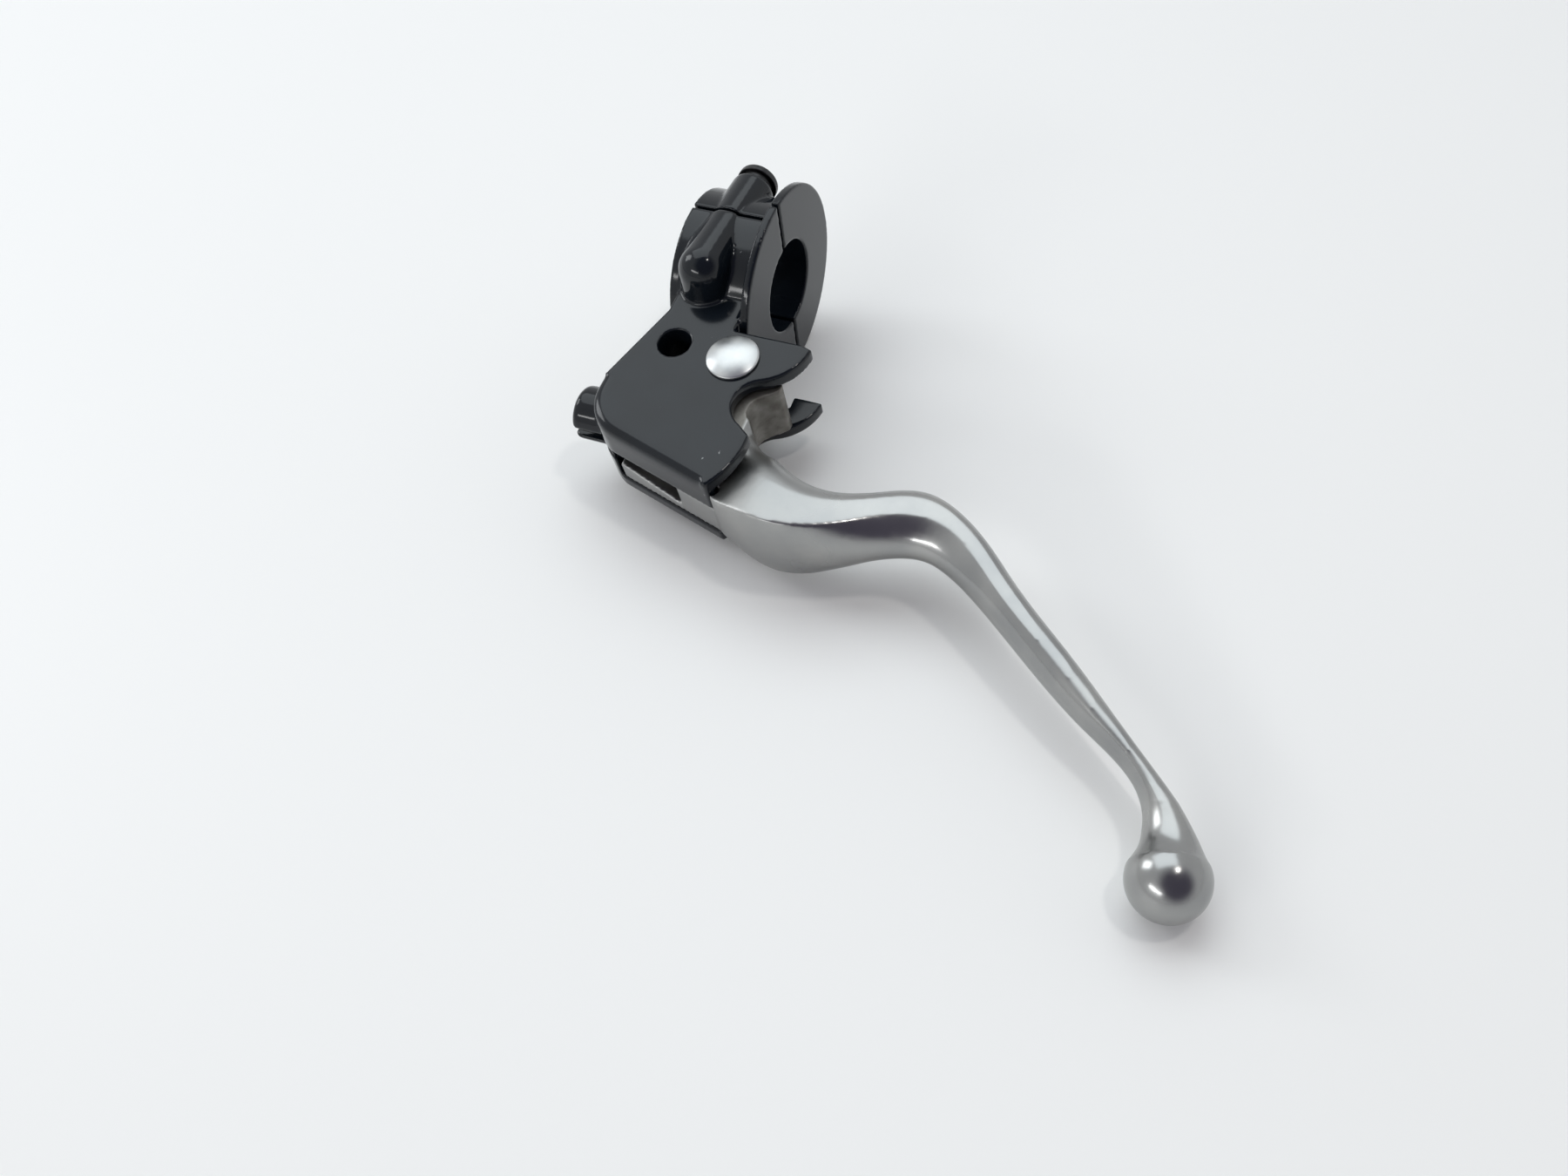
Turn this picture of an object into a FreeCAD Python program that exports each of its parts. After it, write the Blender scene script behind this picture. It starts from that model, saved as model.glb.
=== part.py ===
"""Left-hand motorcycle clutch lever: bracket, handlebar clamp, lever, pivot and cable anchor.

Origin: centre of the handlebar bore.  +X points outboard along the bar, +Y back to
the rider, +Z up along the pivot pin.  The lever swings about +Z and its mid-plane is Z = 0.
The clamp is drawn from the bar's axis, and the ears and the lever from the pivot's axis.
"""
import FreeCAD, Part
import math
import os
import Sketcher

SIZES = {
    "Handlebar clamp": [
        ("bar_radius", 12.7, "bore, for a one-inch bar"),
        ("barrel_wall", 9.7, ""),
        ("barrel_left", 11.6, "barrel end inboard of the bore centre"),
        ("barrel_right", 11.6, "flange's inner face outboard of the bore centre"),
        ("flange_rim", 5.3, "how far the round flange stands out from the barrel"),
        ("flange_thickness", 2.4, ""),
        ("split_gap", 0.9, "gap between the bracket and the clamp half"),
        ("clamp_tilt", 7.0, "lean of the split face, top to the rear, in degrees"),
    ],
    "Clamp screws": [
        ("boss_x", -1.5, "screw axis along the bar"),
        ("screw_wall", 1.2, "metal between the bore and the screw"),
        ("boss_front_radius", 6.8, ""),
        ("boss_rear_radius", 6.1, ""),
        ("boss_front", 17.0, "centre of the boss's domed front end, ahead of the split"),
        ("boss_rear", 16.2, "seat of the washer, behind the split"),
        ("boss_round", 1.2, "round on the rear end of the boss"),
        ("seat_gap", 0.5, "spot face in the barrel wider than the screw's head"),
        ("screw_radius", 3.1, "quarter-inch thread"),
        ("screw_hole_gap", 0.2, "clearance round the screw in the clamp half"),
        ("thread_gap", 0.02, "clearance round the thread in the bracket"),
        ("screw_reach", 10.0, "screw tip ahead of the split"),
        ("thread_run_out", 1.2, "hole beyond the screw's tip"),
        ("washer_rim", 1.75, "how far the washer stands out from the screw"),
        ("washer_thickness", 1.9, ""),
        ("head_rim", 2.7, "how far the button head stands out from the screw"),
        ("head_height", 2.2, ""),
        ("head_crown", 0.9, "rounded part of the head's height"),
        ("hex_across", 4.0, "socket across flats"),
        ("hex_depth", 1.5, ""),
    ],
    "Ears, from the pivot's axis": [
        ("ear_gap", 18.0, "between the ears' inner faces"),
        ("ear_thickness", 4.05, ""),
        ("link_left", -23.6, "block that joins the ears to the barrel"),
        ("link_wall", 2.3, "metal between the bore and the block's rear face"),
        ("ear_rear", 8.9, "rear edge of the ears"),
        ("lower_ear_rear", 7.4, "rear edge of the lower ear, outboard of the clamp"),
        ("jaw_tip_x", 18.8, "tip of the ears, outboard"),
        ("jaw_tip_depth", 0.9, "slant of the tip's end"),
        ("jaw_flat_x", 16.0, ""),
        ("jaw_radius", 15.0, "round front of the jaw"),
        ("scallop_x", 9.4, "ends of the scallop behind the lever's shoulder"),
        ("scallop_rear", -5.0, ""),
        ("scallop_front", -18.5, ""),
        ("scallop_radius", 7.4, ""),
        ("nib_x", 13.3, "nib ahead of the scallop"),
        ("nib_y", -21.3, ""),
        ("side_radius", 25.0, "round outboard side"),
        ("corner_x", 8.4, "front outboard corner"),
        ("corner_y", -38.4, ""),
        ("front_angle", 15.3, "slant of the front edge, in degrees"),
        ("heel_front_x", -24.0, "front end of the heel's round"),
        ("heel_side_x", -31.3, "side end of the heel's round"),
        ("heel_depth", 16.55, "side end of the heel's round behind its front end"),
        ("heel_radius", 13.5, ""),
        ("rim_round", 0.7, "round along the ears' outer edges"),
    ],
    "Lever slot": [
        ("lip_thickness", 2.3, "lip that hangs from the upper ear's front edge"),
        ("lip_bottom", 2.2, "height of the lip's lower edge"),
        ("slot_left", -24.7, "inner face of the heel wall"),
        ("notch_left", 6.0, "notch in the lower ear's rear edge"),
        ("notch_right", 10.7, ""),
        ("notch_front", 3.5, ""),
    ],
    "Mirror and cable": [
        ("mirror_x", -17.3, ""),
        ("mirror_y", 0.9, ""),
        ("mirror_radius", 4.45, "hole for the mirror stem"),
        ("mirror_wall", 2.35, "wall round the hole between the ears"),
        ("cable_y", -18.0, "axis of the clutch cable's socket"),
        ("socket_radius", 4.85, "takes the end ferrule of the cable"),
        ("socket_wall", 2.35, ""),
        ("socket_mouth_x", -39.3, ""),
        ("socket_depth", 11.0, ""),
        ("socket_round", 1.9, "round on the socket boss's end"),
        ("cable_slit", 3.0, "slit that the inner cable is laid through"),
    ],
    "Pivot": [
        ("pivot_x", 15.0, ""),
        ("hub_gap", 0.5, "between the lever's hub and the clamp's flange"),
        ("pin_radius", 4.0, ""),
        ("pin_hole_gap", 0.05, "clearance of the pin in the ears"),
        ("pin_head_rim", 3.05, "how far the head stands out from the pin"),
        ("pin_head_height", 2.3, ""),
        ("pin_crown", 1.5, "domed part of the head's height"),
        ("pin_tail", 2.4, "pin below the lower ear"),
        ("pin_chamfer", 0.4, ""),
        ("ring_thickness", 0.9, "retaining ring"),
        ("ring_rim", 3.0, "how far the ring stands out from the pin"),
        ("ring_groove_depth", 0.9, ""),
        ("ring_play", 0.1, "gap between the ring and the ear"),
        ("bushing_wall", 1.26, ""),
        ("bushing_gap", 0.04, "running clearance on the pin"),
    ],
    "Lever plate, from the pivot's axis": [
        ("lever_side_gap", 0.4, "between the lever and each ear"),
        ("hub_wall", 3.0, "metal round the bushing"),
        ("shoulder_x", 14.0, "outboard shoulder of the hub"),
        ("shoulder_rear", -1.9, ""),
        ("shoulder_front", -3.7, ""),
        ("waist_x", 9.6, "ends of the hollow ahead of the shoulder"),
        ("waist_rear", -7.4, ""),
        ("waist_front", -14.1, ""),
        ("waist_radius", 4.2, ""),
        ("plate_gap", 1.3, "between the plate and the heel wall"),
        ("plate_rear", -8.7, "rear edge beside the web"),
        ("plate_step_x", -9.0, "where the rear edge meets the hub"),
        ("lip_clearance", 1.2, "between the upper flange's round front and the lip"),
        ("front_gap", 0.3, "step of the plate's front behind the lip's face"),
        ("anchor_x", -14.0, "cable anchor"),
        ("anchor_y", -20.5, ""),
        ("anchor_radius", 4.75, ""),
        ("anchor_gap", 0.05, "running clearance of the anchor"),
        ("anchor_end_gap", 0.35, "anchor shorter than the lever's thickness, each end"),
        ("anchor_hole_radius", 1.6, "cross hole for the cable"),
        ("slot_floor_left", -2.6, "floor of the cable slot at its inboard end"),
        ("slot_floor_right", -6.4, "floor of the cable slot at its outboard end"),
        ("slot_end_x", -3.8, ""),
        ("slot_rear", -14.0, ""),
    ],
    "Ball, from the ears' corner": [
        ("ball_x", 129.9, ""),
        ("ball_y", -56.7, ""),
        ("ball_radius", 9.3, ""),
    ],
}

# The arm's stations from the plate to the ball, measured from the ears' front corner.
# Each has the front and rear edge in plan, the rise of its top above the plate's, and how
# far the ridge stands back from the front, as a share of the width.
STATIONS = [
    ("root", 0.8, -0.4, 1.2, 24.1, 0.0, 0.02),
    ("mouth", 3.6, -2.1, 7.2, 19.3, 0.3, 0.02),
    ("shoulder", 10.0, -4.7, 11.2, 17.6, 2.6, 0.05),
    ("swell", 18.6, -6.1, 17.4, 14.2, 3.5, 0.07),
    ("fall", 27.6, -5.1, 24.6, 12.2, 2.6, 0.13),
    ("throat", 35.1, -3.3, 31.6, 12.8, 1.2, 0.26),
    ("neck", 41.6, -0.6, 39.4, 15.7, -0.2, 0.37),
    ("dip", 52.2, 2.7, 52.0, 19.0, -1.2, 0.43),
    ("bend", 59.2, 1.5, 63.5, 14.0, -1.6, 0.52),
    ("blade", 72.0, -6.0, 78.1, 1.6, -1.9, 0.42),
    ("middle", 92.7, -21.4, 98.1, -14.8, -2.4, 0.39),
    ("tip", 102.9, -28.1, 107.3, -22.6, -3.0, 0.34),
    ("nape", 112.4, -33.7, 115.6, -29.8, -3.4, 0.30),
    ("flare", 118.0, -38.8, 122.5, -35.6, -3.5, 0.33),
    ("collar", 120.5, -43.1, 127.4, -39.9, -3.2, 0.42),
    ("cup", 121.4, -47.5, 133.9, -46.8, -2.3, 0.50),
]

doc = FreeCAD.newDocument("ClutchLever")
sheet = doc.addObject("Spreadsheet::Sheet", "Dims")


def write_row(row, alias, size, note):
    sheet.set("A%d" % row, note or alias.replace("_", " "))
    sheet.set("B%d" % row, str(size))
    sheet.setAlias("B%d" % row, alias)


def fill_sheet():
    """Every driving dimension has one cell, and its alias is the name used below."""
    row = 1
    for group, sizes in SIZES.items():
        sheet.set("A%d" % row, group)
        for alias, size, note in sizes:
            row += 1
            write_row(row, alias, size, note)
        row += 2
    for name, *sizes in STATIONS:
        for part, size in zip(("front_x", "front_y", "rear_x", "rear_y", "rise", "ridge"), sizes):
            write_row(row, "%s_%s" % (name, part), size, "arm station %s, %s" % (name, part))
            row += 1
    doc.recompute()


def value(expression):
    return float(sheet.evalExpression(expression))


fill_sheet()

# Sizes and places that several pieces share.
BARREL = "(Dims.bar_radius + Dims.barrel_wall)"
FLANGE = "(%s + Dims.flange_rim)" % BARREL
FLANGE_END = "(Dims.barrel_right + Dims.flange_thickness)"
SPLIT = "(Dims.split_gap / 2)"
BOSS_HEIGHT = "(Dims.bar_radius + Dims.screw_wall + Dims.screw_radius)"
WASHER_BACK = "(Dims.boss_rear + Dims.washer_thickness)"
EAR_INSIDE = "(Dims.ear_gap / 2)"
EAR_OUTSIDE = "(Dims.ear_gap / 2 + Dims.ear_thickness)"
LEVER_HALF = "(Dims.ear_gap / 2 - Dims.lever_side_gap)"
BUSHING = "(Dims.pin_radius + Dims.bushing_gap + Dims.bushing_wall)"
HUB = "(%s + Dims.hub_wall)" % BUSHING
PIVOT_Y = "(-%s - Dims.hub_gap - %s)" % (FLANGE, HUB)
WEB = "(Dims.mirror_radius + Dims.mirror_wall)"
CLEAR = "(4 * %s)" % FLANGE

# The same places measured from the pivot's axis.
LINK_REAR = "(-%s - Dims.bar_radius - Dims.link_wall)" % PIVOT_Y
LINK_RIGHT = "(Dims.barrel_right - Dims.pivot_x)"


def front_edge(x, inset="0"):
    """Y of the ears' slanting front edge at x, moved back by inset."""
    slope = "(Dims.corner_x - (%s)) * tan(Dims.front_angle * 1 deg)" % x
    return "(Dims.corner_y + %s + (%s) / cos(Dims.front_angle * 1 deg))" % (slope, inset)


# ---- sketching ---------------------------------------------------------------------

def origin_plane(body, role):
    return next(plane for plane in body.Origin.OriginFeatures if plane.Role == role)


def new_sketch(body, name, plane, **offset):
    sketch = body.newObject("Sketcher::SketchObject", name)
    sketch.AttachmentSupport = [(origin_plane(body, plane), "")]
    sketch.MapMode = "FlatFace"
    for axis, expression in offset.items():
        sketch.setExpression("AttachmentOffset.Base." + axis, expression)
    return sketch


def bind(sketch, kind, places, expression):
    index = sketch.addConstraint(Sketcher.Constraint(kind, *places, value(expression)))
    sketch.setExpression("Constraints[%d]" % index, expression)


def bind_point(sketch, geometry, end, x, y):
    bind(sketch, "DistanceX", (-1, 1, geometry, end), x)
    bind(sketch, "DistanceY", (-1, 1, geometry, end), y)


def draw_circle(sketch, x, y, radius):
    centre = FreeCAD.Vector(value(x), value(y), 0)
    circle = Part.Circle(centre, FreeCAD.Vector(0, 0, 1), value(radius))
    index = sketch.addGeometry(circle)
    bind(sketch, "Radius", (index,), radius)
    bind_point(sketch, index, 3, x, y)
    return sketch


def arc_geometry(start, end, radius, turn):
    """The shorter arc from start to end: turn is 1 for counter-clockwise, -1 for clockwise."""
    chord = end - start
    rise = math.sqrt(radius ** 2 - (chord.Length / 2) ** 2)
    left = FreeCAD.Vector(-chord.y, chord.x, 0).normalize()
    centre = start + chord * 0.5 + left * (rise * turn)
    first, last = (start, end) if turn > 0 else (end, start)
    angles = [math.atan2(p.y - centre.y, p.x - centre.x) for p in (first, last)]
    circle = Part.Circle(centre, FreeCAD.Vector(0, 0, 1), radius)
    return Part.ArcOfCircle(circle, angles[0], angles[1])


def draw_outline(sketch, corners):
    """A closed outline.  A corner is (x, y), or (x, y, radius, turn) where an arc leaves it."""
    points = [FreeCAD.Vector(value(c[0]), value(c[1]), 0) for c in corners]
    ends = []
    for index, corner in enumerate(corners):
        start = points[index]
        end = points[(index + 1) % len(points)]
        if len(corner) == 2:
            line = sketch.addGeometry(Part.LineSegment(start, end))
            ends.append((line, 1, 2))
            continue
        radius, turn = corner[2:]
        arc = sketch.addGeometry(arc_geometry(start, end, value(radius), turn))
        bind(sketch, "Radius", (arc,), radius)
        ends.append((arc, 1, 2) if turn > 0 else (arc, 2, 1))
    for index, corner in enumerate(corners):
        geometry, start, end = ends[index]
        following, next_start, _ = ends[(index + 1) % len(ends)]
        sketch.addConstraint(Sketcher.Constraint("Coincident", geometry, end, following, next_start))
        bind_point(sketch, geometry, start, corner[0], corner[1])
    return sketch


def box_corners(x_low, x_high, y_low, y_high):
    return [(x_low, y_low), (x_high, y_low), (x_high, y_high), (x_low, y_high)]


# ---- features ----------------------------------------------------------------------

def extrude(kind, sketch, length, symmetric, reverse):
    body = sketch.getParentGeoFeatureGroup()
    feature = body.newObject("PartDesign::" + kind, sketch.Name + kind)
    feature.Profile = sketch
    feature.SideType = "Symmetric" if symmetric else "One side"
    feature.Reversed = reverse
    feature.setExpression("Length", length)
    return feature


def pad(sketch, length, symmetric=False, reverse=False):
    extrude("Pad", sketch, length, symmetric, reverse)
    doc.recompute()


def pocket(sketch, length, symmetric=True, reverse=False):
    """Cut, and make sure that material went."""
    body = sketch.getParentGeoFeatureGroup()
    before = body.Shape.Volume
    extrude("Pocket", sketch, length, symmetric, reverse)
    doc.recompute()
    if body.Shape.Volume > before - 0.01:
        raise RuntimeError(sketch.Name + " cuts nothing")


def revolve(sketch, axis="V_Axis"):
    body = sketch.getParentGeoFeatureGroup()
    feature = body.newObject("PartDesign::Revolution", sketch.Name + "Revolution")
    feature.Profile = sketch
    feature.ReferenceAxis = (sketch, [axis])
    feature.Angle = 360
    doc.recompute()


def fillet(body, name, radius, wanted):
    """Round the edges of the body's tip for which wanted(edge) is true."""
    base = body.Tip
    names = ["Edge%d" % (i + 1) for i, edge in enumerate(base.Shape.Edges) if wanted(edge)]
    feature = body.newObject("PartDesign::Fillet", name)
    feature.Base = (base, names)
    feature.setExpression("Radius", radius)
    doc.recompute()


def new_body(name):
    body = doc.addObject("PartDesign::Body", name)
    body.Label = name
    return body


def place_at_pivot(part, x="0", y="0", z="0"):
    """Put a part that is drawn from the pivot's axis in its place."""
    for axis, expression in (("x", "Dims.pivot_x + " + x), ("y", PIVOT_Y + " + " + y), ("z", z)):
        part.setExpression("Placement.Base." + axis, expression)


def tilt_with_clamp(part):
    """Lean a part that is drawn square to the bar, as the split face leans."""
    part.Placement = FreeCAD.Placement(FreeCAD.Vector(), FreeCAD.Rotation(FreeCAD.Vector(-1, 0, 0), 1))
    part.setExpression("Placement.Rotation.Angle", "Dims.clamp_tilt * 1 deg")


# ---- bracket -----------------------------------------------------------------------

def ear_outline():
    """Plan of the ears, counter-clockwise from the front outboard corner."""
    heel_front = front_edge("Dims.heel_front_x")
    return [
        ("Dims.corner_x", "Dims.corner_y", "Dims.side_radius", 1),
        ("Dims.nib_x", "Dims.nib_y"),
        ("Dims.scallop_x", "Dims.scallop_front", "Dims.scallop_radius", -1),
        ("Dims.scallop_x", "Dims.scallop_rear", "Dims.jaw_radius", 1),
        ("Dims.jaw_tip_x", "Dims.ear_rear - Dims.jaw_tip_depth"),
        ("Dims.jaw_flat_x", "Dims.ear_rear"),
        (LINK_RIGHT, "Dims.ear_rear"),
        (LINK_RIGHT, LINK_REAR),
        ("Dims.link_left", LINK_REAR),
        ("Dims.link_left", "Dims.ear_rear + 2"),
        ("Dims.heel_side_x", heel_front + " + Dims.heel_depth", "Dims.heel_radius", 1),
        ("Dims.heel_front_x", heel_front),
    ]


def slot_outline():
    """Plan of the space between the ears, inside the lip, the heel wall and the web."""
    inside = "Dims.lip_thickness"
    return [
        ("Dims.slot_left", front_edge("Dims.slot_left", inside)),
        (CLEAR, front_edge(CLEAR, inside)),
        (CLEAR, LINK_REAR),
        (LINK_RIGHT, LINK_REAR),
        (LINK_RIGHT, "Dims.ear_rear"),
        ("Dims.mirror_x + " + WEB, "Dims.ear_rear"),
        ("Dims.mirror_x + " + WEB, "Dims.mirror_y", WEB, -1),
        ("Dims.mirror_x", "Dims.mirror_y - " + WEB),
        ("Dims.slot_left", "Dims.mirror_y - " + WEB),
    ]


def cut_slot(body):
    """The lever's space is full height inside, and lower where it opens under the lip."""
    pocket(draw_outline(new_sketch(body, "Slot", "XY_Plane"), slot_outline()), "Dims.ear_gap")
    mouth = [
        ("Dims.slot_left", front_edge("Dims.slot_left", "Dims.lip_thickness + 1")),
        ("Dims.slot_left", "-" + CLEAR),
        (CLEAR, "-" + CLEAR),
        (CLEAR, front_edge(CLEAR, "Dims.lip_thickness + 1")),
    ]
    sketch = new_sketch(body, "Mouth", "XY_Plane", z="Dims.lip_bottom")
    pocket(draw_outline(sketch, mouth), EAR_INSIDE + " + Dims.lip_bottom", symmetric=False)


def cut_cable_way(body):
    """Ferrule socket, the cable's hole behind it, and the slit that opens both to the front."""
    depth = "Dims.socket_mouth_x + Dims.socket_depth"
    socket = new_sketch(body, "Socket", "YZ_Plane", z=depth)
    draw_circle(socket, "Dims.cable_y", "0", "Dims.socket_radius")
    pocket(socket, CLEAR, symmetric=False)
    slit = new_sketch(body, "Slit", "XY_Plane")
    sides = box_corners("-" + CLEAR, "Dims.slot_left + 1", "-" + CLEAR, "Dims.cable_y + Dims.cable_slit / 2")
    pocket(draw_outline(slit, sides), "Dims.cable_slit")


def cut_upright_holes(body):
    pin = new_sketch(body, "PinHole", "XY_Plane")
    pocket(draw_circle(pin, "0", "0", "Dims.pin_radius + Dims.pin_hole_gap"), CLEAR)
    mirror = new_sketch(body, "MirrorHole", "XY_Plane")
    pocket(draw_circle(mirror, "Dims.mirror_x", "Dims.mirror_y", "Dims.mirror_radius"), CLEAR)


def cut_lower_ear(body):
    """The lower ear's rear edge stands ahead of the upper one's, with a notch in it."""
    flange_side = FLANGE_END + " - Dims.pivot_x"
    corners = [
        (flange_side, "Dims.lower_ear_rear"),
        ("Dims.notch_left", "Dims.lower_ear_rear"),
        ("Dims.notch_left", "Dims.notch_front"),
        ("Dims.notch_right", "Dims.notch_front"),
        ("Dims.notch_right", "Dims.lower_ear_rear"),
        (CLEAR, "Dims.lower_ear_rear"),
        (CLEAR, "Dims.ear_rear + 1"),
        (flange_side, "Dims.ear_rear + 1"),
    ]
    pocket(draw_outline(new_sketch(body, "LowerRear", "XY_Plane"), corners), CLEAR, symmetric=False)


def is_ear_rim(edge):
    """True for an edge that runs round the outside of an ear."""
    box = edge.BoundBox
    flat = box.ZLength < 0.01 and abs(abs(box.ZMax) - value(EAR_OUTSIDE)) < 0.01
    return flat and not is_round_hole(edge)


def is_round_hole(edge):
    return isinstance(edge.Curve, Part.Circle) and len(edge.Vertexes) == 1


def is_socket_rim(edge):
    box = edge.BoundBox
    at_mouth = box.XLength < 0.01 and abs(box.XMax - value("Dims.socket_mouth_x")) < 0.01
    return at_mouth and box.ZMax > value("Dims.socket_radius") + 0.1


def make_ears():
    """The two ears, the block behind them and the cable's socket."""
    body = new_body("bracket_ears")
    ears = draw_outline(new_sketch(body, "Ears", "XY_Plane"), ear_outline())
    pad(ears, "2 * " + EAR_OUTSIDE, symmetric=True)
    cut_slot(body)
    socket = new_sketch(body, "SocketBoss", "YZ_Plane", z="Dims.socket_mouth_x")
    draw_circle(socket, "Dims.cable_y", "0", "Dims.socket_radius + Dims.socket_wall")
    pad(socket, "Dims.slot_left - Dims.socket_mouth_x")
    fillet(body, "SocketRound", "Dims.socket_round", is_socket_rim)
    cut_cable_way(body)
    cut_upright_holes(body)
    cut_lower_ear(body)
    fillet(body, "RimRound", "Dims.rim_round", is_ear_rim)
    place_at_pivot(body)
    return body


def add_barrel(body):
    """Clamp barrel with a round flange at its outboard end, both still solid and whole."""
    barrel = new_sketch(body, "Barrel", "YZ_Plane", z="-Dims.barrel_left")
    pad(draw_circle(barrel, "0", "0", BARREL), "Dims.barrel_left + " + FLANGE_END)
    flange = new_sketch(body, "Flange", "YZ_Plane", z="Dims.barrel_right")
    pad(draw_circle(flange, "0", "0", FLANGE), "Dims.flange_thickness")


def cut_bar_side(body, side):
    """Bore for the bar, and the flat split face: side is 1 to drop the rear half."""
    bore = draw_circle(new_sketch(body, "Bore", "YZ_Plane"), "0", "0", "Dims.bar_radius")
    pocket(bore, CLEAR)
    far = "%d * %s" % (side, CLEAR)
    near = "-%d * %s" % (side, SPLIT)
    low, high = (near, far) if side > 0 else (far, near)
    half = draw_outline(new_sketch(body, "Split", "XY_Plane"), box_corners("-" + CLEAR, CLEAR, low, high))
    pocket(half, CLEAR)


def boss_profile():
    """Half section of the bracket's screw boss: a dome, a slight taper, the split face."""
    return [
        ("0", "-" + SPLIT),
        ("0", "-(Dims.boss_front + Dims.boss_front_radius)", "Dims.boss_front_radius", 1),
        ("Dims.boss_front_radius", "-Dims.boss_front"),
        ("(Dims.boss_front_radius + Dims.boss_rear_radius) / 2", "-" + SPLIT),
    ]


def add_screw_boss(body, name, side):
    """A domed boss along the screw, standing on a round foot on the ear block."""
    sketch = new_sketch(body, name, "XY_Plane", x="Dims.boss_x", z="%d * %s" % (side, BOSS_HEIGHT))
    revolve(draw_outline(sketch, boss_profile()))
    foot = new_sketch(body, name + "Foot", "XY_Plane")
    draw_circle(foot, "Dims.boss_x", "-Dims.boss_front", "Dims.boss_front_radius")
    pad(foot, BOSS_HEIGHT, reverse=side < 0)


def cut_thread_holes(body):
    for name, side in (("UpperThread", 1), ("LowerThread", -1)):
        sketch = new_sketch(body, name, "XZ_Plane")
        height = "%d * %s" % (side, BOSS_HEIGHT)
        draw_circle(sketch, "Dims.boss_x", height, "Dims.screw_radius + Dims.thread_gap")
        pocket(sketch, "Dims.screw_reach + Dims.thread_run_out", symmetric=False, reverse=True)


def make_front_clamp():
    """The bracket's half of the clamp, with the two screw bosses."""
    body = new_body("bracket_clamp_half")
    add_barrel(body)
    add_screw_boss(body, "UpperBoss", 1)
    add_screw_boss(body, "LowerBoss", -1)
    cut_bar_side(body, 1)
    cut_thread_holes(body)
    tilt_with_clamp(body)
    return body


def make_bracket():
    bracket = doc.addObject("Part::MultiFuse", "lever_bracket")
    bracket.Label = "lever_bracket"
    bracket.Shapes = [make_ears(), make_front_clamp()]
    doc.recompute()


# ---- clamp half --------------------------------------------------------------------

def clamp_boss_profile():
    """Half section of the clamp's screw boss, with a rounded rear end."""
    return [
        ("0", SPLIT),
        ("(Dims.boss_front_radius + Dims.boss_rear_radius) / 2", SPLIT),
        ("Dims.boss_rear_radius", "Dims.boss_rear - Dims.boss_round", "Dims.boss_round", 1),
        ("Dims.boss_rear_radius - Dims.boss_round", "Dims.boss_rear"),
        ("0", "Dims.boss_rear"),
    ]


def make_clamp():
    body = new_body("handlebar_clamp")
    add_barrel(body)
    for name, side in (("UpperBoss", 1), ("LowerBoss", -1)):
        sketch = new_sketch(body, name, "XY_Plane", x="Dims.boss_x", z="%d * %s" % (side, BOSS_HEIGHT))
        revolve(draw_outline(sketch, clamp_boss_profile()))
    cut_bar_side(body, -1)
    for name, side in (("Upper", 1), ("Lower", -1)):
        height = "%d * %s" % (side, BOSS_HEIGHT)
        hole = new_sketch(body, name + "Hole", "XZ_Plane")
        draw_circle(hole, "Dims.boss_x", height, "Dims.screw_radius + Dims.screw_hole_gap")
        pocket(hole, CLEAR)
        seat = new_sketch(body, name + "Seat", "XZ_Plane", z="-Dims.boss_rear")
        draw_circle(seat, "Dims.boss_x", height, "Dims.screw_radius + Dims.head_rim + Dims.seat_gap")
        pocket(seat, CLEAR, symmetric=False)
    tilt_with_clamp(body)


# ---- screws and washers ------------------------------------------------------------

def screw_profile():
    """Half section of a button-head screw along Y, with its head to the rear."""
    tip = "-Dims.screw_reach"
    top = "%s + Dims.head_height" % WASHER_BACK
    head = "(Dims.screw_radius + Dims.head_rim)"
    return [
        ("0", tip),
        ("Dims.screw_radius - 0.5", tip),
        ("Dims.screw_radius", tip + " + 0.5"),
        ("Dims.screw_radius", WASHER_BACK),
        (head, WASHER_BACK),
        (head, top + " - Dims.head_crown", "Dims.head_crown", 1),
        (head + " - Dims.head_crown", top),
        ("0", top),
    ]


def hexagon(x, y, across):
    """Corners of a hexagon round (x, y), from its size across flats."""
    corners = []
    for step in range(6):
        turn = "(%d * 1 deg)" % (60 * step)
        corner = "%s / sqrt(3)" % across
        corners.append(("%s + %s * cos%s" % (x, corner, turn), "%s + %s * sin%s" % (y, corner, turn)))
    return corners


def make_screw(name, side):
    body = new_body(name)
    height = "%d * %s" % (side, BOSS_HEIGHT)
    revolve(draw_outline(new_sketch(body, "Turned", "XY_Plane", x="Dims.boss_x", z=height), screw_profile()))
    floor = "-(%s + Dims.head_height - Dims.hex_depth)" % WASHER_BACK
    socket = new_sketch(body, "HexSocket", "XZ_Plane", z=floor)
    pocket(draw_outline(socket, hexagon("Dims.boss_x", height, "Dims.hex_across")), CLEAR, symmetric=False)
    tilt_with_clamp(body)


def make_washer(name, side):
    body = new_body(name)
    height = "%d * %s" % (side, BOSS_HEIGHT)
    ring = new_sketch(body, "Ring", "XZ_Plane", z="-Dims.boss_rear")
    draw_circle(ring, "Dims.boss_x", height, "Dims.screw_radius + Dims.washer_rim")
    draw_circle(ring, "Dims.boss_x", height, "Dims.screw_radius + Dims.screw_hole_gap")
    pad(ring, "Dims.washer_thickness", reverse=True)
    tilt_with_clamp(body)


# ---- pivot -------------------------------------------------------------------------

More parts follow.
